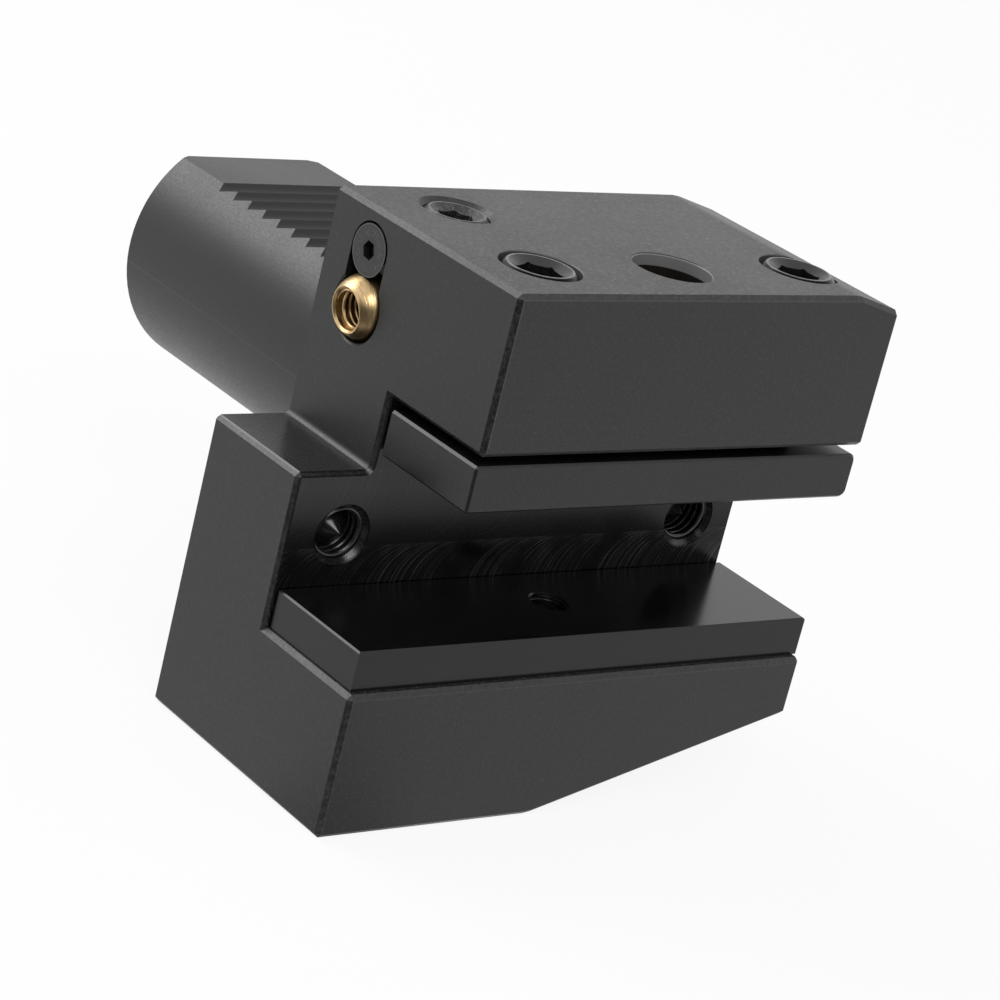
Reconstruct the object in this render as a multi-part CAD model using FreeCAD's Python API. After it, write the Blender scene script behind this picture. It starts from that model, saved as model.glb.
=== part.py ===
import FreeCAD, Part
import math
import os

# Radial tool holder with a toothed round shank, for square shank turning tools.
# Millimetres. The origin is the point where the shank's axis meets the flange face.
# +Y runs along the shank, away from the body. +X runs along the tool slot. +Z is up,
# towards the teeth on the shank and the heads of the clamping screws.

V = FreeCAD.Vector
X_AXIS = V(1, 0, 0)
Y_AXIS = V(0, 1, 0)
Z_AXIS = V(0, 0, 1)

# Holder body: a lower block across the full width, and an upper block that
# stops short of the left end, where the lower block shows as a ledge.
body_width = 85.0
body_depth = 44.0
body_top = 32.5
body_bottom = -48.0
body_right = body_width / 2.0
body_left = -body_right
ledge_width = 12.5
upper_left = body_left + ledge_width
ledge_top = -2.4
edge_chamfer = 0.7
ledge_fillet = 1.0

# Two sloping faces, 15 degrees, leave room for neighbouring tool stations.
relief_angle = math.radians(15.0)
top_relief_width = 8.8
bottom_relief_width = 47.0
top_relief_start = body_right - top_relief_width
bottom_relief_start = body_right - bottom_relief_width

# Tool slot, open at the front and at both ends, half the body deep.
slot_back = -body_depth / 2.0
slot_ceiling = 8.9
jaw_top = -26.0

# Gaps: between a turning screw and its hole, between a fixed thread and its hole,
# and between a ring of rubber and what it seals.
thread_running_gap = 0.05
thread_seat_gap = 0.03
ring_gap = 0.03

# Small broken edges: the mouth of a fine thread, the edge of a screw's head, the tip of
# a screw, and the step where a bore narrows. A hexagon socket has a conical mouth: its
# width outside the hexagon's corners, how far it goes inside them, and its depth for
# each millimetre of width.
thread_mouth = 0.3
head_edge = 0.5
tip_chamfer = 0.6
bore_step = 1.0
socket_mouth = 0.15
socket_inside = 0.35
socket_slope = 0.6

# Shank: a flat with V teeth across it, a seal groove at its root, with a shallow
# turned relief round it in the flange face, and a centre hole in its end.
shank_radius = 20.0
shank_length = 63.0
shank_chamfer = 1.0
shank_flat_depth = 5.0
tooth_flat = shank_radius - shank_flat_depth
tooth_pitch = 4.12
tooth_count = 8
tooth_first = 20.35
tooth_depth = 1.1
tooth_steep_run = 0.75
tooth_crest = 0.3
tooth_cut_above = 0.4
flat_run_in = 6.0
seal_groove_width = 2.8
seal_groove_depth = 1.95
seal_groove_radius = shank_radius - seal_groove_depth
root_relief_width = 2.0
root_relief_radius = shank_radius + root_relief_width
root_relief_depth = 0.4
centre_mouth_radius = 4.0
centre_bore_radius = 1.6
centre_bore_depth = 7.0

# Clamping screws, M12, that push the clamp bar down.
clamp_left_inset = 12.1
clamp_right_inset = 11.35
clamp_left_x = upper_left + clamp_left_inset
clamp_right_x = body_right - clamp_right_inset
lift_inset = 36.4
screw_middle_x = upper_left + lift_inset
screw_row_inset = 11.4
screw_row_y = -body_depth + screw_row_inset
clamp_screw_radius = 6.0
clamp_hole_radius = clamp_screw_radius + thread_running_gap
clamp_hole_rim = 0.15
clamp_hole_foot_rim = 0.8
clamp_end_chamfer = 1.1
clamp_end_ring = 0.3
clamp_end_radius = clamp_screw_radius - clamp_end_chamfer
clamp_socket_flats = 6.0
clamp_socket_depth = 6.5
clamp_left_turn = -21.0
clamp_right_turn = 28.0
clamp_point_chamfer = 1.0

# Clamp bar and the spring loaded screw that lifts it, M6.
bar_left_gap = 0.2
bar_right_gap = 0.05
bar_front_gap = 0.6
bar_back_gap = 0.9
bar_rise_gap = 1.5
bar_left = upper_left + bar_left_gap
bar_right = body_right - bar_right_gap
bar_front = -body_depth + bar_front_gap
bar_back = slot_back - bar_back_gap
bar_top = slot_ceiling - bar_rise_gap
bar_thickness = 7.0
bar_edge = 0.35
bar_end_round = 1.3
lift_thread_radius = 3.0
lift_screw_radius = lift_thread_radius - thread_seat_gap
lift_clearance = 0.3
lift_clearance_radius = lift_thread_radius + lift_clearance
lift_head_radius = 5.0
lift_head_height = 6.0
lift_head_clearance = 0.9
lift_counterbore_radius = lift_head_radius + lift_head_clearance
lift_counterbore_rim = 0.25
lift_web = 3.6
lift_socket_flats = 5.0
lift_socket_depth = 3.0
lift_screw_into_bar = 5.6
lift_thread_spare = 0.4
spring_length = 9.0
spring_wire = 1.1
spring_turns = 3.25
spring_mean_radius = 4.2

# Support plate under the tool, and its M6 screw from below.
plate_left_gap = 1.0
plate_front_gap = 1.5
plate_left = body_left + plate_left_gap
plate_right = body_right
plate_front = -body_depth + plate_front_gap
plate_thickness = 6.0
plate_edge = 0.25
plate_screw_offset = 0.3
plate_screw_x = (plate_left + plate_right) / 2.0 + plate_screw_offset
plate_screw_inset = 12.7
plate_screw_y = -body_depth + plate_screw_inset
plate_thread_radius = 3.0
plate_thread_rim = 0.2
plate_screw_radius = plate_thread_radius - thread_seat_gap
plate_screw_below_top = 1.6
plate_clearance = 0.3
plate_clearance_radius = plate_thread_radius + plate_clearance
plate_head_radius = 5.0
plate_head_height = 6.0
plate_head_clearance = 0.5
plate_counterbore_radius = plate_head_radius + plate_head_clearance
plate_head_depth = 12.0
plate_head_seat = jaw_top - plate_head_depth
plate_socket_flats = 5.0
plate_socket_depth = 3.0

# Swivelling coolant nozzle: a ball in a round pocket of the upper left face, and
# a rubber ring behind it.
ball_radius = 4.9
ball_inset = 1.75
ball_setback = 10.4
ball_below_top = 14.74
ball_x = upper_left + ball_inset
ball_y = -ball_setback
ball_z = body_top - ball_below_top
ball_gap = 0.3
ball_pocket_rim = 0.25
ball_tilt = 7.0
nozzle_mouth = 3.5
nozzle_thread_radius = 3.0
nozzle_thread_length = 5.0
nozzle_bore_radius = 1.75
ring_wire_radius = 0.75
ring_mean_radius = ball_radius - ring_wire_radius

# Countersunk screw that locks the ball, M4, in a keyhole slot above the ball.
lock_above_ball = 8.5
lock_screw_z = ball_z + lock_above_ball
lock_head_radius = 3.85
lock_head_rim = 0.1
lock_head_proud = 0.1
lock_thread_radius = 1.95
lock_hole_radius = lock_thread_radius + thread_running_gap
lock_hole_rim = 0.1
lock_screw_length = 6.0
lock_hole_spare = 1.2
lock_head_clearance = 0.35
lock_slot_radius = lock_head_radius + lock_head_clearance
lock_slot_depth = 2.6
lock_socket_flats = 2.5
lock_socket_depth = 1.6
lock_socket_turn = -21.0

# Coolant way: inlet in the flange face, a drilling up to the ball, and its plug.
coolant_inset = 14.2
coolant_setback = 10.1
coolant_x = upper_left + coolant_inset
coolant_y = -coolant_setback
coolant_radius = 3.5
nozzle_way_radius = 3.25
inlet_radius = 4.0
inlet_z = -24.0
coolant_floor = inlet_z - inlet_radius
plug_hole_radius = 5.0
plug_radius = plug_hole_radius - thread_seat_gap
plug_hole_rim = 0.8
plug_length = 8.0
plug_hole_spare = 2.0
plug_hole_depth = plug_length + plug_hole_spare
plug_top_gap = 0.3
plug_slope = 0.72
plug_face_radius = plug_radius - plug_slope
plug_face_ring = 0.25
plug_socket_flats = 5.0
plug_socket_depth = 4.0

# Threaded holes in the back of the tool slot for length stop screws, M8.
stop_left_inset = 10.0
stop_right_inset = 9.2
stop_left_x = body_left + stop_left_inset
stop_right_x = body_right - stop_right_inset
stop_z = -12.2
stop_radius = 4.0
stop_rim = 0.8
stop_depth = 13.0
drill_point_angle = math.radians(59.0)

# Seal ring at the root of the shank.
seal_wire_radius = 1.2

# A cut that opens a face starts this far outside it, so no skin is left.
over = 1.0


def cylinder(radius, length, start, direction):
    return Part.makeCylinder(radius, length, start, direction)


def cone(start_radius, end_radius, length, start, direction):
    return Part.makeCone(start_radius, end_radius, length, start, direction)


def box(x_from, x_to, y_from, y_to, z_from, z_to):
    corner = V(x_from, y_from, z_from)
    return Part.makeBox(x_to - x_from, y_to - y_from, z_to - z_from, corner)


def hexagon(flats, depth, mouth, direction, mouth_width=socket_mouth, turned=0.0):
    # A hexagon socket of this width across its flats, cut from its mouth inwards, with
    # the conical bottom that the drill leaves and, unless its width is 0, a conical mouth.
    # Turned is the angle in degrees that one corner has been screwed round to.
    corner_radius = flats / math.sqrt(3.0)
    turn = FreeCAD.Rotation(Z_AXIS, direction)
    points = []
    for step in range(7):
        angle = math.radians(60.0 * step + turned)
        flat_point = V(corner_radius * math.cos(angle), corner_radius * math.sin(angle), 0)
        points.append(mouth + turn.multVec(flat_point))
    prism = Part.Face(Part.makePolygon(points)).extrude(direction * depth)
    point = cone(flats / 2.0, 0.0, flats / 4.0, mouth + direction * depth, direction)
    socket = prism.fuse(point)
    if mouth_width == 0:
        return socket
    inside = corner_radius - socket_inside
    lead_depth = (mouth_width + socket_inside) * socket_slope
    return socket.fuse(cone(corner_radius + mouth_width, inside, lead_depth, mouth, direction))


def chamfered(shape, size, chosen):
    edges = [edge for edge in shape.Edges if chosen(edge)]
    return shape.makeChamfer(size, edges)


def straight_along(edge, axis):
    if edge.Curve.TypeId != "Part::GeomLine":
        return False
    return abs(abs(edge.tangentAt(edge.FirstParameter).dot(axis)) - 1.0) < 1e-6


def on_plane(edge, axis, value):
    first = edge.Vertexes[0].Point.dot(axis)
    last = edge.Vertexes[-1].Point.dot(axis)
    return abs(first - value) < 1e-4 and abs(last - value) < 1e-4


def middle(edge):
    return edge.valueAt((edge.FirstParameter + edge.LastParameter) / 2.0)


def body_outline():
    # Outline of the body seen along the shank.
    top_drop = (body_right - top_relief_start) * math.tan(relief_angle)
    bottom_rise = (body_right - bottom_relief_start) * math.tan(relief_angle)
    corners = [
        (body_left, body_bottom),
        (bottom_relief_start, body_bottom),
        (body_right, body_bottom + bottom_rise),
        (body_right, body_top - top_drop),
        (top_relief_start, body_top),
        (upper_left, body_top),
        (upper_left, ledge_top),
        (body_left, ledge_top),
    ]
    points = [V(x, 0, z) for x, z in corners]
    points.append(points[0])
    return Part.Face(Part.makePolygon(points))


def body_block():
    # The outline carried forward from the flange face, with the tool slot cut out.
    block = body_outline().extrude(V(0, -body_depth, 0))
    x_from = body_left - over
    x_to = body_right + over
    slot = box(x_from, x_to, -body_depth - over, slot_back, jaw_top, slot_ceiling)
    block = block.cut(slot)

    def inner_corner(edge):
        at_step = on_plane(edge, X_AXIS, upper_left) and on_plane(edge, Z_AXIS, ledge_top)
        return straight_along(edge, Y_AXIS) and at_step

    fillet_edges = [edge for edge in block.Edges if inner_corner(edge)]
    block = block.makeFillet(ledge_fillet, fillet_edges)

    def outer(edge):
        # Every sharp outside edge. The slot's two inner corners stay sharp.
        at_back = on_plane(edge, Y_AXIS, slot_back)
        at_ceiling = on_plane(edge, Z_AXIS, slot_ceiling)
        at_jaw = on_plane(edge, Z_AXIS, jaw_top)
        if straight_along(edge, X_AXIS) and at_back and (at_ceiling or at_jaw):
            return False
        if edge.Curve.TypeId != "Part::GeomLine":
            return False
        at_step_x = on_plane(edge, X_AXIS, upper_left)
        at_step_z = on_plane(edge, Z_AXIS, ledge_top)
        if straight_along(edge, Y_AXIS) and (at_step_x or at_step_z):
            near_fillet = abs(middle(edge).x - upper_left) <= ledge_fillet + 1e-3
            near_ledge = abs(middle(edge).z - ledge_top) <= ledge_fillet + 1e-3
            if near_fillet and near_ledge:
                return False
        return not (at_back and at_step_x) or middle(edge).z > ledge_top

    def sharp(edge):
        if not outer(edge):
            return False
        point = middle(edge)
        faces = block.ancestorsOfType(edge, Part.Face)
        if len(faces) != 2:
            return False
        inward = V(0, 0, 0)
        for face in faces:
            u, v = face.Surface.parameter(point)
            inward = inward - face.normalAt(u, v)
        inward.normalize()
        # An outside edge has material straight behind it and not in front of it.
        behind = block.isInside(point + inward * 0.05, 1e-6, True)
        ahead = block.isInside(point - inward * 0.05, 1e-6, True)
        return behind and not ahead

    return chamfered(block, edge_chamfer, sharp)


def tooth_gullets():
    # V cuts across the flat, in a row along the shank, with narrow crests left between
    # them. The side of each V that faces the flange is steep, so that the turret's wedge
    # draws the shank in. Each V is carried on a little above the flat.
    cuts = []
    gentle_run = tooth_pitch - tooth_crest - tooth_steep_run
    carried_on = (tooth_depth + tooth_cut_above) / tooth_depth
    top = tooth_flat + tooth_cut_above
    for index in range(tooth_count):
        y = tooth_first + index * tooth_pitch
        floor = tooth_flat - tooth_depth
        points = [
            V(-shank_radius, y, floor),
            V(-shank_radius, y + tooth_steep_run * carried_on, top),
            V(-shank_radius, y - gentle_run * carried_on, top),
            V(-shank_radius, y, floor),
        ]
        outline = Part.Face(Part.makePolygon(points))
        cuts.append(outline.extrude(V(2 * shank_radius, 0, 0)))
    return cuts


def shank():
    # The bar that the turret clamps, toothed on top, with its seal groove.
    groove_length = seal_groove_width + root_relief_depth
    groove = cylinder(seal_groove_radius, groove_length, V(0, -root_relief_depth, 0), Y_AXIS)
    flat_start = tooth_first - flat_run_in
    end_start = shank_length - shank_chamfer
    collar_length = flat_start - seal_groove_width
    collar = cylinder(shank_radius, collar_length, V(0, seal_groove_width, 0), Y_AXIS)
    toothed = cylinder(shank_radius, end_start - flat_start, V(0, flat_start, 0), Y_AXIS)
    end_radius = shank_radius - shank_chamfer
    end = cone(shank_radius, end_radius, shank_chamfer, V(0, end_start, 0), Y_AXIS)
    flat_end = shank_length + over
    flat_top = shank_radius + over
    flat = box(-shank_radius, shank_radius, flat_start, flat_end, tooth_flat, flat_top)
    toothed = toothed.fuse(end).cut(flat)
    for cut in tooth_gullets():
        toothed = toothed.cut(cut)
    bar = groove.fuse(collar).fuse(toothed)
    mouth_length = (centre_mouth_radius - centre_bore_radius) * math.sqrt(3.0)
    mouth_start = V(0, shank_length, 0)
    mouth = cone(centre_mouth_radius, centre_bore_radius, mouth_length, mouth_start, -Y_AXIS)
    bore = cylinder(centre_bore_radius, mouth_length + centre_bore_depth, mouth_start, -Y_AXIS)
    return bar.cut(mouth).cut(bore)


def countersink(radius, width, mouth, direction):
    # A 45 degree rim of this width round the mouth of a hole.
    return cone(radius + width, radius, width, mouth, direction)


def blind_hole(radius, depth, mouth, direction, rim_width):
    # A drilled hole with a conical bottom and a countersunk rim.
    point_length = radius / math.tan(drill_point_angle)
    hole = cylinder(radius, depth, mouth, direction)
    hole = hole.fuse(cone(radius, 0.0, point_length, mouth + direction * depth, direction))
    return hole.fuse(countersink(radius, rim_width, mouth, direction))


def screw_holes():
    # Holes through the upper block: two clamping screws and the lifting screw.
    cuts = []
    height = body_top - slot_ceiling
    for x in (clamp_left_x, clamp_right_x):
        top = V(x, screw_row_y, body_top)
        foot = V(x, screw_row_y, slot_ceiling)
        cuts.append(cylinder(clamp_hole_radius, height, top, -Z_AXIS))
        cuts.append(countersink(clamp_hole_radius, clamp_hole_rim, top, -Z_AXIS))
        cuts.append(countersink(clamp_hole_radius, clamp_hole_foot_rim, foot, Z_AXIS))
    top = V(screw_middle_x, screw_row_y, body_top)
    cuts.append(cylinder(lift_counterbore_radius, height - lift_web, top, -Z_AXIS))
    cuts.append(countersink(lift_counterbore_radius, lift_counterbore_rim, top, -Z_AXIS))
    cuts.append(cylinder(lift_clearance_radius, height, top, -Z_AXIS))
    return cuts


def ring_centre_x():
    # The ring touches the ball, so its place follows from the two radii.
    reach = ball_radius + ring_wire_radius + ring_gap
    return ball_x + math.sqrt(reach ** 2 - ring_mean_radius ** 2)


def nozzle_cuts():
    # Pocket for the ball, the keyhole slot above it and the locking screw's hole.
    pocket_radius = ball_radius + ball_gap
    pocket_floor = ring_centre_x() + ring_wire_radius + ring_gap
    pocket_start = V(upper_left, ball_y, ball_z)
    pocket = cylinder(pocket_radius, pocket_floor - upper_left, pocket_start, X_AXIS)
    mouth = countersink(pocket_radius, ball_pocket_rim, pocket_start, X_AXIS)
    way = cylinder(nozzle_way_radius, coolant_x - upper_left, pocket_start, X_AXIS)
    thread_start = V(upper_left, ball_y, lock_screw_z)
    slot_top = cylinder(lock_slot_radius, lock_slot_depth, thread_start, X_AXIS)
    y_from = ball_y - lock_slot_radius
    y_to = ball_y + lock_slot_radius
    slot = box(upper_left, upper_left + lock_slot_depth, y_from, y_to, ball_z, lock_screw_z)
    thread_depth = lock_screw_length + lock_hole_spare
    thread = blind_hole(lock_hole_radius, thread_depth, thread_start, X_AXIS, lock_hole_rim)
    return [pocket, mouth, way, slot_top, slot, thread]


def coolant_cuts():
    # One drilling down from the top, closed by the plug, meets the inlet's drilling.
    top = V(coolant_x, coolant_y, body_top)
    drilling = cylinder(coolant_radius, body_top - coolant_floor, top, -Z_AXIS)
    plug_hole = cylinder(plug_hole_radius, plug_hole_depth, top, -Z_AXIS)
    shoulder = V(coolant_x, coolant_y, body_top - plug_hole_depth)
    seat = cone(plug_hole_radius, coolant_radius, bore_step, shoulder, -Z_AXIS)
    rim = countersink(plug_hole_radius, plug_hole_rim, top, -Z_AXIS)
    inlet = cylinder(inlet_radius, -coolant_y, V(coolant_x, 0, inlet_z), -Y_AXIS)
    return [drilling, plug_hole, seat, rim, inlet]


def stop_cuts():
    cuts = []
    for x in (stop_left_x, stop_right_x):
        mouth = V(x, slot_back, stop_z)
        cuts.append(blind_hole(stop_radius, stop_depth, mouth, Y_AXIS, stop_rim))
    return cuts


def plate_screw_cuts():
    # Stepped hole through the lower jaw for the screw that holds the plate.
    seat = V(plate_screw_x, plate_screw_y, plate_head_seat)
    through = cylinder(plate_clearance_radius, jaw_top - plate_head_seat, seat, Z_AXIS)
    counterbore = cylinder(plate_counterbore_radius, plate_head_seat - body_bottom, seat, -Z_AXIS)
    return [through, counterbore]


def holder_body():
    relief = cylinder(root_relief_radius, root_relief_depth, V(0, -root_relief_depth, 0), Y_AXIS)
    solid = body_block().cut(relief).fuse(shank())
    groups = [screw_holes(), nozzle_cuts(), coolant_cuts(), stop_cuts(), plate_screw_cuts()]
    for group in groups:
        for cut in group:
            solid = solid.cut(cut)
    return solid


def clamp_bar():
    # The bar that presses on the tool, softly rounded at its right end.
    bar_bottom = bar_top - bar_thickness
    bar = box(bar_left, bar_right, bar_front, bar_back, bar_bottom, bar_top)
    round_edges = []
    for edge in bar.Edges:
        if straight_along(edge, Y_AXIS) and on_plane(edge, X_AXIS, bar_right):
            round_edges.append(edge)
    bar = bar.makeFillet(bar_end_round, round_edges)

    def plain(edge):
        if edge.Curve.TypeId != "Part::GeomLine":
            return False
        near_right = middle(edge).x > bar_right - bar_end_round * 1.01
        if straight_along(edge, Y_AXIS) and near_right:
            return False
        return not on_plane(edge, X_AXIS, bar_right)

    bar = chamfered(bar, bar_edge, plain)
    top = V(screw_middle_x, screw_row_y, bar_top)
    thread_depth = lift_screw_into_bar + lift_thread_spare
    thread = cylinder(lift_thread_radius, thread_depth, top, -Z_AXIS)
    rim = countersink(lift_thread_radius, thread_mouth, top, -Z_AXIS)
    return bar.cut(thread).cut(rim)


def clamp_screw(x, turned):
    # Socket set screw, flush with the body's top: a narrow flat ring round the socket's
    # conical mouth, a broad 45 degree chamfer outside it, and a flat point.
    top = V(x, screw_row_y, body_top)
    length = body_top - bar_top
    straight = length - clamp_end_chamfer - clamp_point_chamfer
    point_radius = clamp_screw_radius - clamp_point_chamfer
    head = cone(clamp_end_radius, clamp_screw_radius, clamp_end_chamfer, top, -Z_AXIS)
    shaft_top = top - Z_AXIS * clamp_end_chamfer
    shaft = cylinder(clamp_screw_radius, straight, shaft_top, -Z_AXIS)
    point_top = shaft_top - Z_AXIS * straight
    point = cone(clamp_screw_radius, point_radius, clamp_point_chamfer, point_top, -Z_AXIS)
    screw = head.fuse(shaft).fuse(point)
    mouth_width = clamp_end_radius - clamp_end_ring - clamp_socket_flats / math.sqrt(3.0)
    socket = hexagon(clamp_socket_flats, clamp_socket_depth, top, -Z_AXIS, mouth_width, turned)
    return screw.cut(socket)


def cap_screw(head_top, head_radius, head_height, direction):
    # A cylindrical head with its outer edge broken; direction points to the tip.
    head = cylinder(head_radius, head_height, head_top, direction)

    def rim(edge):
        circle = edge.Curve.TypeId == "Part::GeomCircle"
        return circle and on_plane(edge, direction, head_top.dot(direction))

    return chamfered(head, head_edge, rim)


def cap_screw_shaft(radius, length, start, direction):
    # The screw's shaft with a chamfered tip.
    shaft = cylinder(radius, length - tip_chamfer, start, direction)
    tip_start = start + direction * (length - tip_chamfer)
    return shaft.fuse(cone(radius, radius - tip_chamfer, tip_chamfer, tip_start, direction))


def lift_seat():
    return slot_ceiling + lift_web


def bar_lift_screw():
    head_top = V(screw_middle_x, screw_row_y, lift_seat() + spring_length + lift_head_height)
    shaft_length = lift_seat() + spring_length - bar_top + lift_screw_into_bar
    shaft_start = head_top - Z_AXIS * lift_head_height
    head = cap_screw(head_top, lift_head_radius, lift_head_height, -Z_AXIS)
    shaft = cap_screw_shaft(lift_screw_radius, shaft_length, shaft_start, -Z_AXIS)
    socket = hexagon(lift_socket_flats, lift_socket_depth, head_top, -Z_AXIS)
    return head.fuse(shaft).cut(socket)


def bar_lift_spring():
    # Compression spring with ground ends, between the web and the screw's head.
    wire_radius = spring_wire / 2.0
    pitch = spring_length / spring_turns
    helix = Part.makeHelix(pitch, spring_length, spring_mean_radius)
    profile_centre = V(spring_mean_radius, 0, 0)
    profile = Part.Wire([Part.makeCircle(wire_radius, profile_centre, Y_AXIS)])
    coil = Part.Wire(helix.Edges).makePipeShell([profile], True, True)
    reach = spring_mean_radius + spring_wire
    ground = box(-reach, reach, -reach, reach, 0, spring_length)
    coil = coil.common(ground)
    coil.translate(V(screw_middle_x, screw_row_y, lift_seat()))
    return coil


def support_plate():
    # Hardened plate on the lower jaw, with a threaded hole for its screw.
    plate_top = jaw_top + plate_thickness
    plate = box(plate_left, plate_right, plate_front, slot_back, jaw_top, plate_top)

    def upper(edge):
        return on_plane(edge, Z_AXIS, plate_top)

    plate = chamfered(plate, plate_edge, upper)
    top = V(plate_screw_x, plate_screw_y, plate_top)
    thread = cylinder(plate_thread_radius, plate_thickness, top, -Z_AXIS)
    return plate.cut(thread).cut(countersink(plate_thread_radius, plate_thread_rim, top, -Z_AXIS))


def support_plate_screw():
    head_top = V(plate_screw_x, plate_screw_y, plate_head_seat - plate_head_height)
    tip = jaw_top + plate_thickness - plate_screw_below_top
    shaft_start = head_top + Z_AXIS * plate_head_height
    head = cap_screw(head_top, plate_head_radius, plate_head_height, Z_AXIS)
    shaft = cap_screw_shaft(plate_screw_radius, tip - plate_head_seat, shaft_start, Z_AXIS)
    socket = hexagon(plate_socket_flats, plate_socket_depth, head_top, Z_AXIS)
    return head.fuse(shaft).cut(socket)


def nozzle_ring():
    # Ring behind the ball. It seals and grips, so the ball stays where it is turned.
    centre = V(ring_centre_x(), ball_y, ball_z)
    return Part.makeTorus(ring_mean_radius, ring_wire_radius, centre, X_AXIS)


def coolant_nozzle():
    # Ball with a flat mouth, a threaded bore for a pipe and a narrow way through.
    ball = Part.makeSphere(ball_radius)
    reach = ball_radius + over
    ball = ball.cut(Part.makeBox(reach, 2 * reach, 2 * reach, V(-nozzle_mouth - reach, -reach, -reach)))
    mouth = V(-nozzle_mouth, 0, 0)
    thread = cylinder(nozzle_thread_radius, nozzle_thread_length, mouth, X_AXIS)
    rim = countersink(nozzle_thread_radius, thread_mouth, mouth, X_AXIS)
    thread_end = mouth + X_AXIS * nozzle_thread_length
    taper = cone(nozzle_thread_radius, nozzle_bore_radius, bore_step, thread_end, X_AXIS)
    way = cylinder(nozzle_bore_radius, 2 * ball_radius, mouth, X_AXIS)
    ball = ball.cut(thread).cut(rim).cut(taper).cut(way)
    ball.rotate(V(0, 0, 0), Y_AXIS, -ball_tilt)
    ball.translate(V(ball_x, ball_y, ball_z))
    return ball


def ball_clamp_screw():
    # Countersunk screw beside the ball. Its head wedges the ball into the pocket.
    top = V(upper_left - lock_head_proud, ball_y, lock_screw_z)
    rim = cylinder(lock_head_radius, lock_head_rim, top, X_AXIS)
    cone_start = top + X_AXIS * lock_head_rim
    cone_length = lock_head_radius - lock_thread_radius
    head = cone(lock_head_radius, lock_thread_radius, cone_length, cone_start, X_AXIS)
    shaft_start = cone_start + X_AXIS * cone_length
    shaft_length = lock_screw_length - lock_head_rim - cone_length
    shaft = cylinder(lock_thread_radius, shaft_length, shaft_start, X_AXIS)
    screw = rim.fuse(head).fuse(shaft)
    socket = hexagon(lock_socket_flats, lock_socket_depth, top, X_AXIS, 0, lock_socket_turn)
    return screw.cut(socket)


def coolant_plug():
    # Socket plug, sealed into the top of the vertical drilling.
    top = V(coolant_x, coolant_y, body_top - plug_top_gap)
    head = cone(plug_face_radius, plug_radius, plug_slope, top, -Z_AXIS)
    shaft_top = top - Z_AXIS * plug_slope
    shaft = cylinder(plug_radius, plug_length - plug_slope, shaft_top, -Z_AXIS)
    mouth_width = plug_face_radius - plug_face_ring - plug_socket_flats / math.sqrt(3.0)
    socket = hexagon(plug_socket_flats, plug_socket_depth, top, -Z_AXIS, mouth_width)
    return head.fuse(shaft).cut(socket)


def shank_seal_ring():
    # Rubber ring in the groove against the flange, a little proud of the shank.
    mean_radius = seal_groove_radius + seal_wire_radius + ring_gap
    centre = V(0, (seal_groove_width - root_relief_depth) / 2.0, 0)
    return Part.makeTorus(mean_radius, seal_wire_radius, centre, Y_AXIS)


def all_pieces():
    return {
        "holder_body": holder_body(),
        "clamp_bar": clamp_bar(),
        "clamp_screw_left": clamp_screw(clamp_left_x, clamp_left_turn),
        "clamp_screw_right": clamp_screw(clamp_right_x, clamp_right_turn),
        "bar_lift_screw": bar_lift_screw(),
        "bar_lift_spring": bar_lift_spring(),
        "support_plate": support_plate(),
        "support_plate_screw": support_plate_screw(),
        "coolant_nozzle": coolant_nozzle(),
        "nozzle_seal_ring": nozzle_ring(),
        "ball_clamp_screw": ball_clamp_screw(),
        "coolant_plug": coolant_plug(),
        "shank_seal_ring": shank_seal_ring(),
    }


os.makedirs("parts", exist_ok=True)
for name, shape in all_pieces().items():
    shape.exportStep("parts/" + name + ".step")
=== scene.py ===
import math

import bpy
import numpy as np
from mathutils import Matrix, Vector


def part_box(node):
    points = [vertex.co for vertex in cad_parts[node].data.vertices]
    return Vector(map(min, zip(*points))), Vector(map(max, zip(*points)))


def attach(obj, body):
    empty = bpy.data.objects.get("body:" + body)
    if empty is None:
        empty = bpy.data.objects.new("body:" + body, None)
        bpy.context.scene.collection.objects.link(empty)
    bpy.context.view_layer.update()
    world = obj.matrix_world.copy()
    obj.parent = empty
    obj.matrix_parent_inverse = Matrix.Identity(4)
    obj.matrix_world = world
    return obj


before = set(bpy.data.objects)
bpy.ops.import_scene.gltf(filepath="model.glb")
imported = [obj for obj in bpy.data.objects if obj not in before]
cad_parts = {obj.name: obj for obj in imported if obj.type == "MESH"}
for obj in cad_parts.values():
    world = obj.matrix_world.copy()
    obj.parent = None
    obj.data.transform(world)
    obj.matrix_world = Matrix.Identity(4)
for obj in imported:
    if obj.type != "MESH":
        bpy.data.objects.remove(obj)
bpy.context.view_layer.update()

# Looks of the radial tool holder. Metres, in the frame of the solids: the origin is
# where the shank's axis meets the flange face, +Y runs along the shank, +Z is up.

MM = 0.001
COOL = (0.98, 1.0, 1.03)
CHAMFER = 0.7 * MM
RIM = 0.85 * MM
body_low, body_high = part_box("holder_body")

# Planes of the block, read from the solids or from the source's own numbers.
block_front = body_low.y
block_left = body_low.x
block_right = body_high.x
block_top = body_high.z
block_bottom = body_low.z
upper_left = block_left + 12.5 * MM
ledge_top = -2.4 * MM
slot_back = block_front / 2.0
slot_ceiling = 8.9 * MM
jaw_top = -26.0 * MM
relief_slope = math.radians(15.0)
relief_start = block_right - 8.8 * MM

# Teeth across the shank's flat: its height over the axis, their depth and pitch, and
# the places of the first and the last crest along the shank.
tooth_flat = 15.0 * MM
tooth_depth = 1.1 * MM
tooth_pitch = 4.12 * MM
tooth_gaps = 7
tooth_first = 20.35 * MM
tooth_last = tooth_first + tooth_gaps * tooth_pitch

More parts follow.
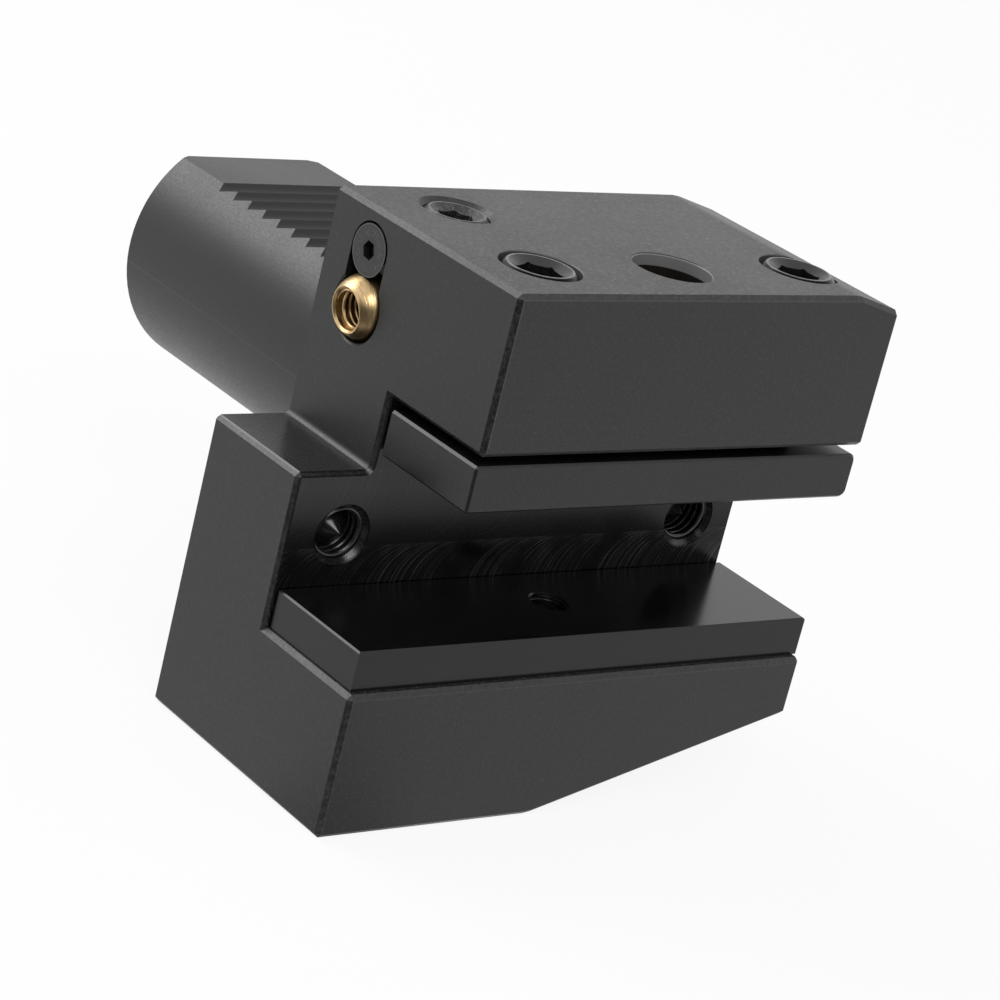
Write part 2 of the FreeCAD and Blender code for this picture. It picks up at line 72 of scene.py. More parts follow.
# Threads that show: M8 holes for the stop screws, M6 in the plate and in the ball.
stop_places = [block_left + 10.0 * MM, block_right - 9.2 * MM]
stop_height = -12.2 * MM
stop_wall = 4.0 * MM
stop_sink = 4.85 * MM
stop_pitch = 1.25 * MM
point_depths = {"left": 0.5 * MM, "right": 1.6 * MM}
point_radius = 3.25 * MM
fine_wall = 3.0 * MM
fine_pitch = 1.0 * MM

# Screws and the plate, as the solids have them, and the bore of the lifting screw.
screw_low, screw_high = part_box("clamp_screw_left")
screw_radius = (screw_high.x - screw_low.x) / 2.0
screw_places = {}
for side in ("left", "right"):
    screw_middle = sum(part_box("clamp_screw_" + side), Vector()) / 2.0
    screw_places[side] = (screw_middle.x, screw_middle.y)
plate_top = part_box("support_plate")[1].z
plate_screw_place = (0.8 * MM, block_front + 12.7 * MM)
lift_place = (6.4 * MM, -32.6 * MM)
lift_bore = 6.02 * MM

# The ball in the left face, its tilt at rest and the screw above it that locks it.
ball_centre = Vector((upper_left + 1.75 * MM, -10.4 * MM, block_top - 14.74 * MM))
ball_tilt = math.radians(7.0)
ball_mouth = 3.5 * MM
lock_place = (ball_centre.y, ball_centre.z + 8.5 * MM)

# The side of the room that reflections see dark, as shares of x and y.
dark_x = -0.68
dark_y = -0.73


class Value:
    """A number that varies over a surface. Python's operators on it add Math nodes."""

    def __init__(self, finish, socket):
        self.finish = finish
        self.socket = socket

    def math(self, operation, *others):
        inputs = {index: value for index, value in enumerate((self, *others))}
        return self.finish.node("ShaderNodeMath", {"operation": operation}, inputs)

    def reflected(self, operation, other):
        return self.finish.node("ShaderNodeMath", {"operation": operation}, {0: other, 1: self})

    def __add__(self, other):
        return self.math("ADD", other)

    def __radd__(self, other):
        return self.reflected("ADD", other)

    def __sub__(self, other):
        return self.math("SUBTRACT", other)

    def __rsub__(self, other):
        return self.reflected("SUBTRACT", other)

    def __mul__(self, other):
        return self.math("MULTIPLY", other)

    def __rmul__(self, other):
        return self.reflected("MULTIPLY", other)

    def __pow__(self, other):
        return self.math("POWER", other)

    def __abs__(self):
        return self.math("ABSOLUTE")

    def most(self, other):
        return self.math("MAXIMUM", other)

    def between(self, low, high):
        """0 at low and below, 1 at high and above, straight in between."""
        sockets = {"Value": self, "From Min": low, "From Max": high, "To Min": 0.0, "To Max": 1.0}
        return self.finish.node("ShaderNodeMapRange", {"clamp": True}, sockets)

    def until(self, low, high):
        """1 at low and below, 0 at high and above, straight in between."""
        return 1.0 - self.between(low, high)


class Finish:
    """A material on its way, with the one method through which its nodes are added."""

    def __init__(self, name, **constants):
        self.material = bpy.data.materials.new(name)
        self.material.use_nodes = True
        self.tree = self.material.node_tree
        self.shader = self.tree.nodes["Principled BSDF"]
        for socket, value in constants.items():
            self.shader.inputs[socket.replace("_", " ")].default_value = value

    @classmethod
    def for_tree(cls, tree):
        """The same methods for a node tree that isn't a material's, such as the world's."""
        made = cls.__new__(cls)
        made.tree = tree
        return made

    def feed(self, socket, value):
        if isinstance(value, Value):
            self.tree.links.new(value.socket, socket)
        else:
            socket.default_value = value

    def node(self, kind, settings=None, sockets=None, output=0):
        """Adds a node: its settings first, then the values or links of its sockets."""
        made = self.tree.nodes.new(kind)
        for name, value in (settings or {}).items():
            setattr(made, name, value)
        for name, value in (sockets or {}).items():
            self.feed(made.inputs[name], value)
        return Value(self, made.outputs[output])

    def place(self, stretch=(1.0, 1.0, 1.0)):
        """The point's own coordinates in metres, stretched along each axis."""
        point = self.node("ShaderNodeTexCoord", output="Object")
        sockets = {"Vector": point, "Scale": stretch}
        return self.node("ShaderNodeMapping", sockets=sockets)

    def apart(self, vector):
        """The three components of a vector, each as a Value."""
        made = self.tree.nodes.new("ShaderNodeSeparateXYZ")
        self.feed(made.inputs[0], vector)
        return [Value(self, output) for output in made.outputs]

    def facing(self):
        """The three components of the true surface normal."""
        return self.apart(self.node("ShaderNodeNewGeometry", output="True Normal"))

    def noise(self, scale, stretch=(1.0, 1.0, 1.0), detail=3.0, rough=0.55):
        """Cloudy noise with this many cells in a metre, stretched along each axis."""
        sockets = {"Vector": self.place(stretch), "Scale": scale, "Detail": detail, "Roughness": rough}
        return self.node("ShaderNodeTexNoise", sockets=sockets, output="Fac")

    def mix(self, factor, first, second):
        """The first colour where the factor is 0 and the second where it is 1."""
        made = self.tree.nodes.new("ShaderNodeMix")
        made.data_type = "RGBA"
        self.feed(made.inputs["Factor"], factor)
        self.feed(made.inputs[6], first)
        self.feed(made.inputs[7], second)
        return Value(self, made.outputs[2])

    def bump(self, height, distance, strength=1.0):
        sockets = {"Height": height, "Distance": distance, "Strength": strength}
        self.feed(self.shader.inputs["Normal"], self.node("ShaderNodeBump", sockets=sockets))

    def colour(self, value):
        self.feed(self.shader.inputs["Base Color"], value)

    def roughness(self, value):
        self.feed(self.shader.inputs["Roughness"], value)


def grey(level, tint=(1.0, 1.0, 1.0)):
    return (level * tint[0], level * tint[1], level * tint[2], 1.0)


def nearness(value, plane, reach):
    """1 on a plane and 0 once the value is further from it than the reach."""
    return abs(value - plane).until(reach * 0.92, reach)


def tilt(finish):
    """1 on faces that slope against all three axes' planes, such as broken edges."""
    nx, ny, nz = (abs(part) for part in finish.facing())
    return nx.most(ny).most(nz).until(0.86, 0.93)


def block_edges(finish):
    """Broken edges and countersinks of the block: 1 on a sloping face, unless it belongs to
    the wall of a bore, which lies away from the block's planes, or to the shank."""
    nx, ny, nz = (abs(part) for part in finish.facing())
    x, y, z = finish.apart(finish.place())
    slope = (x - relief_start) * math.sin(relief_slope) + (z - block_top) * math.cos(relief_slope)
    beside_x = nearness(x, block_left, RIM) + nearness(x, block_right, RIM) + nearness(x, upper_left, RIM)
    beside_y = nearness(y, block_front, RIM) + nearness(y, slot_back, RIM) + nearness(y, 0.0, RIM)
    beside_z = nearness(z, block_top, RIM) + nearness(z, block_bottom, RIM) + nearness(slope, 0.0, RIM)
    beside_z = beside_z + nearness(z, slot_ceiling, RIM) + nearness(z, jaw_top, RIM)
    beside_z = beside_z + nearness(z, ledge_top, RIM)
    not_along_x = nx.between(0.02, 0.05).most((beside_y + beside_z).between(0.4, 0.6))
    not_along_z = nz.between(0.02, 0.05).most((beside_x + beside_y).between(0.4, 0.6))
    in_stop_hole = y.between(slot_back + RIM, slot_back + RIM * 1.05) * y.until(-1.0 * MM, -0.9 * MM)
    in_stop_hole = in_stop_hole * z.between(jaw_top - 5.0 * MM, jaw_top - 4.0 * MM)
    in_stop_hole = in_stop_hole * z.until(stop_height + 5.2 * MM, stop_height + 6.2 * MM)
    before_shank = y.until(0.0, 0.05 * MM)
    return tilt(finish) * not_along_x * not_along_z * (1.0 - in_stop_hole) * before_shank


def milling_arcs(finish, x, z):
    """Arcs that the cutter left on the slot's back wall in two passes. The upper pass left
    the lower right quarters of its circles and the lower pass the upper left quarters, so
    the place of the circle's centre along the slot, which sets the arc's tone, is x minus
    or plus the root of radius squared less height from the centre squared."""
    seam = -14.0 * MM
    upper_radius = 11.0 * MM
    lower_radius = 7.5 * MM
    above = seam + upper_radius - z
    below = z - seam + lower_radius
    upper_place = x - ((upper_radius ** 2 - above * above).most(0.0)) ** 0.5
    lower_place = x + ((lower_radius ** 2 - below * below).most(0.0)) ** 0.5
    upper_side = z.between(seam - 0.05 * MM, seam + 0.05 * MM)
    place = upper_place * upper_side + lower_place * (1.0 - upper_side)
    sockets = {"W": place, "Scale": 1700.0, "Detail": 3.0, "Roughness": 0.7}
    lines = finish.node("ShaderNodeTexNoise", {"noise_dimensions": "1D"}, sockets)
    strength = finish.noise(140.0, detail=2.0).between(0.36, 0.6)
    return lines.between(0.46, 0.74) * strength * (1.0 - upper_side * 0.85)


def within(first, second, place, radius):
    """1 inside a circle round a place given by two coordinates, 0 outside it."""
    across = first - place[0]
    along = second - place[1]
    return ((across * across + along * along) ** 0.5).until(radius - 0.02 * MM, radius)


def around_screws(x, y):
    """1 within the countersinks round the two clamping screws, 0 outside them."""
    left = within(x, y, screw_places["left"], screw_radius + 1.0 * MM)
    return left.most(within(x, y, screw_places["right"], screw_radius + 1.0 * MM))


def edge_highlight_lines(x, y, z):
    """Painted highlight lines on the front faces, along their chamfered edges."""
    front = nearness(y, block_front, 0.03 * MM)
    beside = nearness(x, upper_left + CHAMFER, 0.16 * MM) * z.between(slot_ceiling, slot_ceiling + 0.1 * MM)
    above = nearness(z, block_top - CHAMFER, 0.12 * MM)
    lower = nearness(x, block_left + CHAMFER, 0.12 * MM) + nearness(z, jaw_top - CHAMFER, 0.1 * MM)
    return front * (beside + above + lower * 0.6)


def on_teeth(finish, y, z):
    """1 on the crests and walls of the shank's teeth, 0 on its flats and round sides."""
    nx = abs(finish.facing()[0])
    above_floor = z.between(tooth_flat - tooth_depth - 0.15 * MM, tooth_flat - tooth_depth - 0.1 * MM)
    past_first = y.between(tooth_first - 3.1 * MM, tooth_first - 3.05 * MM)
    before_last = y.until(tooth_last + 1.0 * MM, tooth_last + 1.05 * MM)
    return above_floor * past_first * before_last * nx.until(0.02, 0.05)


def body_steel():
    """Ground and blackened steel: fine speckle, cloudy tone, turned shank, milling arcs in the
    tool slot and an oily brown bore for the lifting screw. Painted light and shade too: the
    speckle is strongest on upward faces and left out of recesses, broken edges and lines
    along them are painted highlights, the teeth's walls, the lifting bore's upper wall and
    the screws' countersinks carry painted light, and the slot a dark metallic painted shade."""
    finish = Finish("body_steel", Specular_IOR_Level=0.5)
    x, y, z = finish.apart(finish.place())
    cloud = finish.noise(45.0, detail=4.0)
    speckle = finish.noise(3000.0, detail=2.0, rough=0.7)
    coarse = finish.noise(1500.0, detail=2.0)
    edges = block_edges(finish)
    in_slot = nearness(y, slot_back, 0.2 * MM) * z.between(jaw_top, jaw_top + 0.1 * MM)
    in_slot = in_slot * z.until(slot_ceiling - 0.1 * MM, slot_ceiling)
    arcs = milling_arcs(finish, x, z) * in_slot
    on_shank = y.between(0.0, 0.05 * MM)
    sockets = {"W": y, "Scale": 2600.0, "Detail": 2.0}
    turning = finish.node("ShaderNodeTexNoise", {"noise_dimensions": "1D"}, sockets) * on_shank
    in_bore = within(x, y, lift_place, lift_bore)
    rim_foot = z.between(block_top - 1.9 * MM, block_top - 1.8 * MM)
    oily = in_bore * (1.0 - rim_foot) * z.between(slot_ceiling + 0.2 * MM, slot_ceiling + 0.3 * MM)
    ledge = nearness(z, ledge_top, 0.2 * MM)
    holes = within(x, z, (stop_places[0], stop_height), stop_sink)
    holes = holes.most(within(x, z, (stop_places[1], stop_height), stop_sink))
    holes = holes * y.between(slot_back + 0.02 * MM, slot_back + 0.06 * MM) * (1.0 - on_shank)
    teeth = on_teeth(finish, y, z)
    # Painted light on the walls of the teeth: strongest down at their floor, none near the flat.
    gullet_light = teeth * z.until(tooth_flat - tooth_depth, tooth_flat - 0.2 * MM)
    crests = teeth * finish.facing()[2].between(0.85, 0.9)
    tone = cloud.between(0.3, 0.7)
    base = finish.mix(tone, grey(0.002, COOL), grey(0.0035, COOL))
    upward = finish.facing()[2].between(0.85, 0.95)
    # Speckle: real grain, but painted lighter on upward faces as painted top light, and left out of the
    # slot, the holes and the ledge as painted shade.
    grain_and_painted_light = (0.16 + upward * 0.84) * (1.0 - on_shank * 0.8) * (1.0 - in_slot.most(holes).most(ledge))
    base = finish.mix((speckle * 0.6 + coarse * 0.4).between(0.5, 0.66) * grain_and_painted_light, base, grey(0.09, COOL))
    # Painted highlight: broken edges and countersinks paler, patchy with the coarse noise.
    base = finish.mix(edges * coarse.between(0.3, 0.7) * 0.4, base, grey(0.04, COOL))
    base = finish.mix(gullet_light * gullet_light, base, grey(0.05, COOL))
    # Painted shade in the tool slot: an even dark colour, which the metallic below turns into a dim
    # reflection.
    base = finish.mix(in_slot * 0.95, base, grey(0.014, COOL))
    base = finish.mix(arcs * 0.9, base, grey(0.09, COOL))
    # Painted light: the upper 1.8 mm of the lifting screw's bore wall is pale.
    base = finish.mix(in_bore * rim_foot * 0.9, base, grey(0.2))
    # Painted light: the walls round the clamping screws are paler in their upper 1.8 mm.
    base = finish.mix(around_screws(x, y) * (1.0 - upward) * rim_foot, base, grey(0.07))
    base = finish.mix(oily, base, (0.006, 0.0035, 0.0018, 1.0))
    # Painted highlight: pale lines along the front faces' chamfered edges, patchy with the coarse noise.
    base = finish.mix(edge_highlight_lines(x, y, z) * (0.3 + coarse * 0.5), base, grey(0.06, COOL))
    finish.colour(base)
    # Painted shade: the slot's walls are metallic with a dark colour, most of all low down, so they reflect
    # little.
    slot_shade = in_slot * (1.0 - z.between(-15.0 * MM, -5.0 * MM) * 0.6)
    finish.feed(finish.shader.inputs["Metallic"], slot_shade * 0.9)
    rough = 0.34 + tone * 0.06 + speckle.between(0.35, 0.65) * 0.12
    smooth = in_slot.most(holes) * 0.2
    rough = rough - smooth + arcs * 0.2 - on_shank * 0.04 - ledge * 0.18 + crests * 0.5
    finish.roughness(rough)
    plain = 1.0 - in_slot
    relief = speckle * plain + coarse * 0.5 * plain + arcs + turning * 0.6
    finish.bump(relief, 0.025 * MM, 0.5)
    return finish.material


def thread_steel():
    """The stop screws' points and the ridges of their threads: black and smooth."""
    finish = Finish("thread_steel", Metallic=0.0, Specular_IOR_Level=0.6)
    cloud = finish.noise(900.0)
    finish.colour(finish.mix(cloud, grey(0.004), grey(0.012)))
    finish.roughness(0.16 + cloud * 0.08)
    return finish.material


def bar_steel():
    """The clamp bar: blackened steel with an even, finer speckle, and pale edges that are a painted
    highlight.
    """
    finish = Finish("bar_steel", Metallic=0.0, Specular_IOR_Level=0.42)
    cloud = finish.noise(80.0, detail=4.0)
    speckle = finish.noise(3600.0, detail=2.0)
    base = finish.mix(cloud.between(0.3, 0.7), grey(0.003, COOL), grey(0.006, COOL))
    base = finish.mix(speckle.between(0.5, 0.64) * 0.5, base, grey(0.02, COOL))
    # Painted highlight: broken edges paler, patchy with the cloud.
    base = finish.mix(tilt(finish) * cloud * 0.3, base, grey(0.04, COOL))
    finish.colour(base)
    finish.roughness(0.3 + cloud * 0.08)
    finish.bump(speckle, 0.015 * MM, 0.5)
    return finish.material


def plate_steel():
    """The support plate: hardened, ground along its length, black on top."""
    finish = Finish("plate_steel", Metallic=0.0, Specular_IOR_Level=0.35)
    cloud = finish.noise(70.0, detail=4.0)
    lay = finish.noise(2600.0, (0.04, 1.0, 1.0), detail=2.0)
    base = finish.mix(cloud.between(0.3, 0.7), grey(0.0015, COOL), grey(0.003, COOL))
    base = finish.mix(lay.between(0.4, 0.7) * 0.3, base, grey(0.008, COOL))
    # Painted highlight: broken edges paler, patchy with the cloud.
    base = finish.mix(tilt(finish) * cloud * 0.3, base, grey(0.03, COOL))
    finish.colour(base)
    finish.roughness(0.17 + cloud * 0.06)
    finish.bump(lay, 0.006 * MM, 0.5)
    return finish.material


def black_screw(name, dark, rough):
    """Black socket screw: smooth, worn along its turned edges, with a paler ring at its
    face. Gives the finish and its colour so far."""
    finish = Finish(name, Metallic=0.0, Specular_IOR_Level=0.5)
    z = finish.apart(finish.place())[2]
    nz = finish.facing()[2]
    cloud = finish.noise(420.0, detail=4.0)
    ring = nz.between(0.9, 0.97) * z.between(block_top - 0.4 * MM, block_top - 0.35 * MM)
    worn = finish.noise(1500.0, detail=3.0).between(0.35, 0.6)
    base = finish.mix(cloud.between(0.3, 0.7), grey(dark, COOL), grey(dark * 1.6, COOL))
    base = finish.mix(tilt(finish) * 0.2 * worn, base, grey(0.03, COOL))
    base = finish.mix(ring * (0.3 + worn * 0.5), base, grey(0.2))
    finish.roughness(rough + cloud * 0.12)
    finish.bump(finish.noise(5000.0), 0.01 * MM, 0.4)
    return finish, base


def screw_steel():
    """The clamping screws: below their bright ring the broken edge is painted dark, a painted shade for the
    gap between screw and countersink.
    """
    finish, base = black_screw("screw_steel", 0.003, 0.26)
    x, y, z = finish.apart(finish.place())
    inside = within(x, y, screw_places["left"], screw_radius - 1.0 * MM)
    inside = inside.most(within(x, y, screw_places["right"], screw_radius - 1.0 * MM))
    # Painted shade: the broken edge below the ring is dark and metallic, so that it reflects little.
    edge = tilt(finish) * (1.0 - inside) * z.between(block_top - 3.0 * MM, block_top - 2.9 * MM)
    finish.colour(finish.mix(edge, base, grey(0.006)))
    finish.feed(finish.shader.inputs["Metallic"], edge)
    return finish.material


def plug_steel():
    """The plug's face, scratched by its key: short thin streaks in crossing directions."""
    finish, base = black_screw("plug_steel", 0.006, 0.36)
    along = finish.noise(6500.0, (1.0, 0.12, 0.3), detail=1.0).between(0.58, 0.68)
    across = finish.noise(6500.0, (0.12, 1.0, 0.3), detail=1.0).between(0.6, 0.7)
    finish.colour(finish.mix(along.most(across) * 0.5, base, grey(0.2)))
    return finish.material


def lock_steel():
    """The countersunk screw's face: dull speckle, with a paler rim and a worn band."""
    finish, base = black_screw("lock_steel", 0.006, 0.36)
    x, y, z = finish.apart(finish.place())
    face = x.until(upper_left + 0.05 * MM, upper_left + 0.1 * MM)
    rim = 1.0 - within(y, z, lock_place, 3.65 * MM)
    band = within(y, z, lock_place, 3.3 * MM) * (1.0 - within(y, z, lock_place, 2.1 * MM))
    fleck = finish.noise(5200.0, detail=2.0).between(0.58, 0.7)
    base = finish.mix(face * band * fleck * 0.6, base, grey(0.16))
    base = finish.mix(face * rim * 0.6, base, grey(0.07))
    finish.colour(base)
    return finish.material


def spring_steel():
    """Bright drawn wire, a little dull."""
    finish = Finish("spring_steel", Metallic=1.0)
    cloud = finish.noise(700.0)
    finish.colour(finish.mix(cloud, grey(0.35, COOL), grey(0.5, COOL)))
    finish.roughness(0.3 + cloud * 0.15)
    return finish.material


def brass(name, dark_inside):
    """Turned brass: rings left by the tool, a film in patches, brown down in the bore."""
    finish = Finish(name, Metallic=1.0)
    x, y, z = finish.apart(finish.place())
    cloud = finish.noise(420.0, detail=4.0)
    turning = finish.noise(5200.0, (1.0, 0.08, 0.08), detail=2.0)
    along = (x - ball_centre.x) * math.cos(ball_tilt) + (z - ball_centre.z) * math.sin(ball_tilt)
    across = (z - ball_centre.z) * math.cos(ball_tilt) - (x - ball_centre.x) * math.sin(ball_tilt)
    from_axis = (across * across + (y - ball_centre.y) * (y - ball_centre.y)) ** 0.5
    base = finish.mix(cloud.between(0.35, 0.7), (0.66, 0.48, 0.26, 1.0), (0.44, 0.3, 0.14, 1.0))
    base = finish.mix(turning.between(0.48, 0.66) * 0.6, base, (0.28, 0.18, 0.08, 1.0))
    inside = from_axis.until(dark_inside - 0.05 * MM, dark_inside)
    inside = inside * along.between(-3.3 * MM, -1.0 * MM)
    base = finish.mix(inside * 0.85, base, (0.11, 0.06, 0.022, 1.0))
    finish.colour(base)
    finish.roughness(0.2 + cloud * 0.14 + turning * 0.1)
    finish.bump(turning + cloud, 0.05 * MM, 0.7)
    return finish.material


def nozzle_brass():
    return brass("nozzle_brass", 3.25 * MM)


def crest_brass():
    """The thread's ridge: its crests stay bright."""
    return brass("crest_brass", 2.2 * MM)


def seal_rubber():
    """Black rubber rings: matt, with a trace of grey bloom."""
    finish = Finish("seal_rubber", Metallic=0.0)
    bloom = finish.noise(400.0, detail=4.0)
    finish.colour(finish.mix(bloom.between(0.45, 0.8), grey(0.018), grey(0.04)))
    finish.roughness(0.55 + bloom * 0.2)
    finish.bump(finish.noise(4000.0), 0.02 * MM, 0.4)
    return finish.material


def grid_piece(name, points, material, body):
    """A closed piece from a grid of points, rows along the piece and columns round it.
    The first and last rows are capped with a point at their middle."""
    rows, columns, _ = points.shape
    flat = points.reshape(-1, 3)
    start = flat[:columns].mean(axis=0)
    end = flat[-columns:].mean(axis=0)
    vertices = np.vstack([flat, start, end])
    row = np.arange(rows - 1)[:, None] * columns
    column = np.arange(columns)[None, :]
    following = (column + 1) % columns
    next_row = row + columns
    quads = np.stack([row + column, row + following, next_row + following, next_row + column], axis=-1)
    quads = quads.reshape(-1, 4)
    around = np.arange(columns)
    after = (around + 1) % columns
    first_cap = np.stack([after, around, np.full(columns, rows * columns)], axis=-1)
    last = (rows - 1) * columns
    last_cap = np.stack([last + around, last + after, np.full(columns, rows * columns + 1)], axis=-1)
    faces = quads.tolist() + first_cap.tolist() + last_cap.tolist()
    mesh = bpy.data.meshes.new(name)
    mesh.from_pydata(vertices.tolist(), [], faces)
    mesh.materials.append(material)
    mesh.shade_smooth()
    piece = bpy.data.objects.new(name, mesh)
    bpy.context.scene.collection.objects.link(piece)
    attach(piece, body)
    return piece


def turned_to(axis):
    """Two directions square to an axis, so that all three make a right-handed frame."""
    axis = np.array(axis, float)
    axis = axis / np.linalg.norm(axis)
    helper = np.array([0.0, 0.0, 1.0]) if abs(axis[2]) < 0.9 else np.array([1.0, 0.0, 0.0])
    side = np.cross(helper, axis)
    side = side / np.linalg.norm(side)
    return side, np.cross(axis, side), axis


def inner_thread(name, mouth, axis, wall, pitch, length, material, body):
    """A ridge that winds down the wall of a bore. A point is axis * (start + pitch * turn
    / one turn + profile width) + radius * direction, where the profile is a flattened
    triangle of 60 degrees and its height fades to nothing over the first and the last
    fifth of a turn."""
    depth = 0.54 * pitch
    turns = length / pitch
    steps = int(turns * 40)
    angle = np.linspace(0.0, turns * 2.0 * math.pi, steps)[:, None]
    fade = np.clip(np.minimum(angle, angle[-1] - angle) / 1.2, 0.02, 1.0)
    half_base = 0.44 * pitch
    half_crest = 0.07 * pitch
    profile_width = np.array([-half_base, -half_crest, half_crest, half_base])[None, :]
    profile_depth = np.array([-0.04 * MM, depth, depth, -0.04 * MM])[None, :]
    along = pitch * angle / (2.0 * math.pi) + profile_width * (0.3 + 0.7 * fade)
    radius = wall - np.where(profile_depth > 0.0, profile_depth * fade, profile_depth)
    side, up, ahead = turned_to(axis)
    around = np.cos(angle)[..., None] * side + np.sin(angle)[..., None] * up
    points = np.array(mouth) + along[..., None] * ahead + radius[..., None] * around
    return grid_piece(name, points, material, body)


def screw_point(name, mouth, axis, radius, depth, length, material, body):
    """The cone point of a stop screw in its hole. A point is mouth + axis * along + radius
    * share * direction, where the share grows in step with the way along, at 45 degrees,
    until it is 1, and the cylinder behind keeps it."""
    cone = np.linspace(0.04 * MM, radius, 24)
    along = np.concatenate([cone, [radius + 0.15 * MM, length]])[:, None]
    share = np.minimum(along / radius, 1.0)
    angle = np.linspace(0.0, 2.0 * math.pi, 96, endpoint=False)[None, :]
    side, up, ahead = turned_to(axis)
    around = np.cos(angle)[..., None] * side + np.sin(angle)[..., None] * up
    points = np.array(mouth) + (depth + along)[..., None] * ahead + (radius * share)[..., None] * around
    return grid_piece(name, points, material, body)


def threads(materials):
    for side, x in zip(("left", "right"), stop_places):
        inner_thread("stop_thread_" + side, (x, slot_back + 0.7 * MM, stop_height), (0, 1, 0), stop_wall,
                     stop_pitch, 11.0 * MM, materials["thread_steel"], "holder")
        screw_point("stop_screw_point_" + side, (x, slot_back, stop_height), (0, 1, 0), point_radius,
                    point_depths[side], 6.0 * MM, materials["thread_steel"], "holder")
    x, y = plate_screw_place
    inner_thread("plate_thread", (x, y, plate_top - 0.45 * MM), (0, 0, -1), fine_wall,
                 fine_pitch * 0.5, 0.9 * MM, materials["plate_steel"], "holder")
    into = np.array([math.cos(ball_tilt), 0.0, math.sin(ball_tilt)])
    mouth = np.array(ball_centre) - into * ball_mouth
    inner_thread("nozzle_thread_ridge", mouth + into * 0.6 * MM, into, fine_wall, fine_pitch, 4.0 * MM,
                 materials["crest_brass"], "nozzle")


def dress_nodes(materials):
    """Gives each node of the solids the material of its slot."""
    slots = {
        "body_steel": ["holder_body"],
        "bar_steel": ["clamp_bar"],
        "plate_steel": ["support_plate"],
        "plug_steel": ["coolant_plug"],
        "lock_steel": ["ball_clamp_screw"],
        "screw_steel": ["clamp_screw_left", "clamp_screw_right", "bar_lift_screw", "support_plate_screw"],
        "spring_steel": ["bar_lift_spring"],
        "nozzle_brass": ["coolant_nozzle"],
        "seal_rubber": ["nozzle_seal_ring", "shank_seal_ring"],
    }
    for slot, nodes in slots.items():
        for node in nodes:
            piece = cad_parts[node]
            piece.data.materials.clear()
            piece.data.materials.append(materials[slot])


def dark_side(finish, direction):
    """1 towards the unlit side of the room, before the part's left corner, 0 elsewhere."""
    x, y, z = finish.apart(direction)
    return (x * dark_x + y * dark_y).between(0.7, 0.95)


def seen_white(finish, direction):
    """How strongly white is seen: wholly by the eye, and by reflections less towards the
    dark side of the room."""
    kind = "ShaderNodeLightPath"
    eye = finish.node(kind, output="Is Camera Ray").most(finish.node(kind, output="Is Transmission Ray"))
    gloss = finish.node(kind, output="Is Glossy Ray") * (1.0 - dark_side(finish, direction) * 0.9)
    return eye.most(gloss)


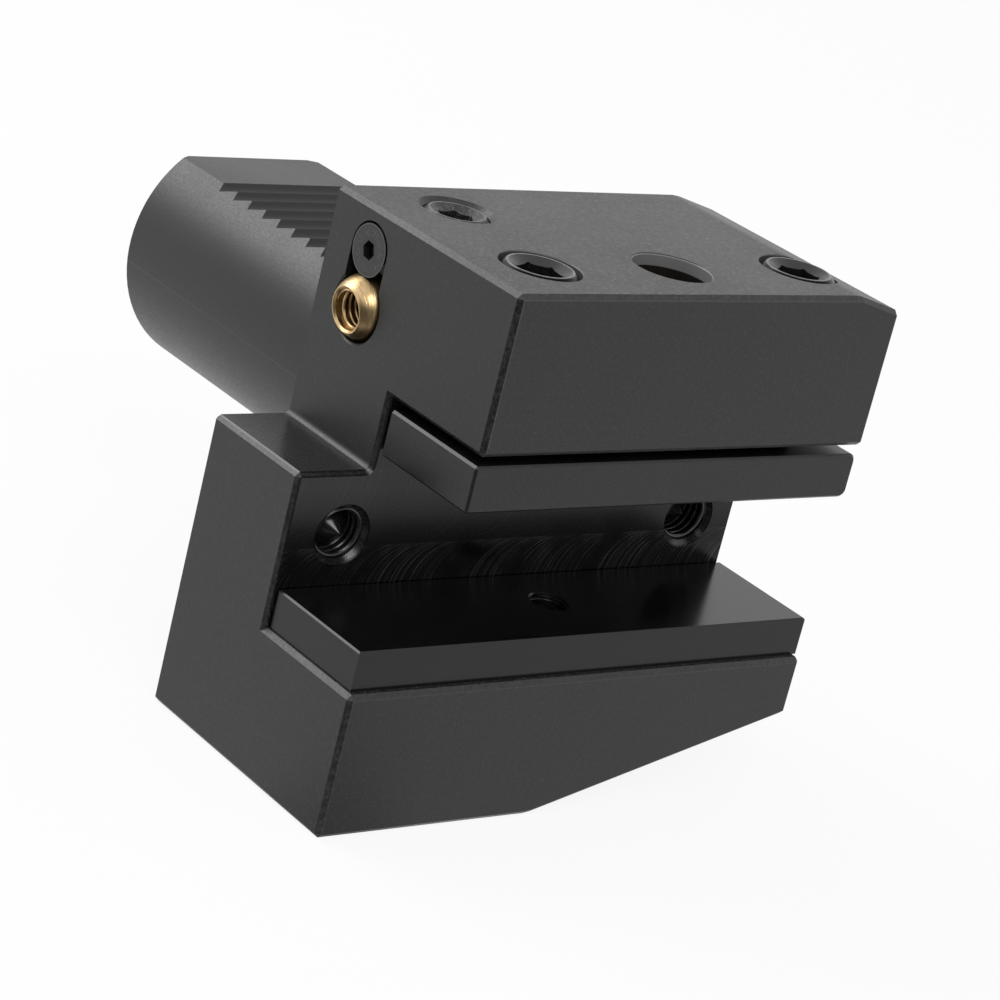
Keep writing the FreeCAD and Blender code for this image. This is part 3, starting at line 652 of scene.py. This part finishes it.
def surroundings():
    world = bpy.data.worlds.new("studio")
    bpy.context.scene.world = world
    world.use_nodes = True
    room = Finish.for_tree(world.node_tree)
    direction = room.node("ShaderNodeTexCoord", output="Generated")
    light = room.mix(seen_white(room, direction), grey(0.6), grey(1.0))
    is_gloss = room.node("ShaderNodeLightPath", output="Is Glossy Ray")
    dark = is_gloss * dark_side(room, direction) * 0.9
    light = room.mix(dark, light, grey(0.0))
    sky = room.node("ShaderNodeBackground", sockets={"Color": light, "Strength": 1.0})
    room.feed(world.node_tree.nodes["World Output"].inputs["Surface"], sky)
    side = 3.0
    height = block_bottom - 0.02 * MM
    corners = [(-side, -side, height), (side, -side, height), (side, side, height), (-side, side, height)]
    mesh = bpy.data.meshes.new("floor")
    mesh.from_pydata(corners, [], [(0, 1, 2, 3)])
    finish = Finish("floor_paint", Roughness=0.85, Specular_IOR_Level=0.2)
    finish.colour(finish.mix(finish.noise(3.0), grey(0.86), grey(0.9)))
    white = finish.node("ShaderNodeEmission", sockets={"Color": grey(1.0), "Strength": 1.0})
    outward = finish.node("ShaderNodeVectorMath", {"operation": "NORMALIZE"}, {0: finish.place()})
    dark = finish.node("ShaderNodeEmission", sockets={"Color": grey(0.0), "Strength": 0.0})
    painted = Value(finish, finish.shader.outputs["BSDF"])
    share = seen_white(finish, outward) * 0.9
    mixed = finish.node("ShaderNodeMixShader", sockets={0: share, 1: painted, 2: white})
    is_gloss = finish.node("ShaderNodeLightPath", output="Is Glossy Ray")
    shade = is_gloss * dark_side(finish, outward) * 0.9
    mixed = finish.node("ShaderNodeMixShader", sockets={0: shade, 1: mixed, 2: dark})
    finish.feed(finish.tree.nodes["Material Output"].inputs["Surface"], mixed)
    mesh.materials.append(finish.material)
    floor = bpy.data.objects.new("floor", mesh)
    bpy.context.scene.collection.objects.link(floor)


def lamp(name, place, target, size, power):
    light = bpy.data.lights.new(name, "AREA")
    light.shape = "RECTANGLE"
    light.size = size[0]
    light.size_y = size[1]
    light.energy = power
    lamp_object = bpy.data.objects.new(name, light)
    lamp_object.location = place
    aim = Vector(target) - Vector(place)
    lamp_object.rotation_euler = aim.to_track_quat("-Z", "Y").to_euler()
    bpy.context.scene.collection.objects.link(lamp_object)


def lights():
    middle = (0.0, 0.0, -0.005)
    lamp("rear_softbox", (-0.42, 0.77, 0.64), middle, (0.75, 0.6), 5.9)
    lamp("front_softbox", (-0.32, -0.75, 0.74), middle, (0.5, 0.5), 3.2)


def camera():
    # Where the photograph was taken from: the place, the picture's right and down
    # directions and the way the lens looks, all in the frame of the solids.
    place = Vector((-316.05, -368.74, 157.01)) * MM
    right = Vector((0.77635, -0.58668, 0.2304)).normalized()
    ahead = right.cross(Vector((-0.03395, -0.40394, -0.91416))).normalized()
    down = ahead.cross(right)
    lens = bpy.data.cameras.new("camera")
    sensor_width = 36.0
    focal_length = 122.263
    lens.sensor_width = sensor_width
    lens.lens = focal_length
    lens.clip_start = 0.01
    lens.clip_end = 20.0
    eye = bpy.data.objects.new("camera", lens)
    columns = Matrix((right, -down, -ahead)).transposed().to_4x4()
    columns.translation = place
    eye.matrix_world = columns
    bpy.context.scene.collection.objects.link(eye)
    bpy.context.scene.camera = eye


def build():
    camera()
    makers = [body_steel, thread_steel, bar_steel, plate_steel, screw_steel, plug_steel, lock_steel,
              spring_steel, nozzle_brass, crest_brass, seal_rubber]
    materials = {maker.__name__: maker() for maker in makers}
    dress_nodes(materials)
    threads(materials)
    surroundings()
    lights()
    bpy.context.scene.view_settings.view_transform = "Standard"


build()
bpy.context.view_layer.update()
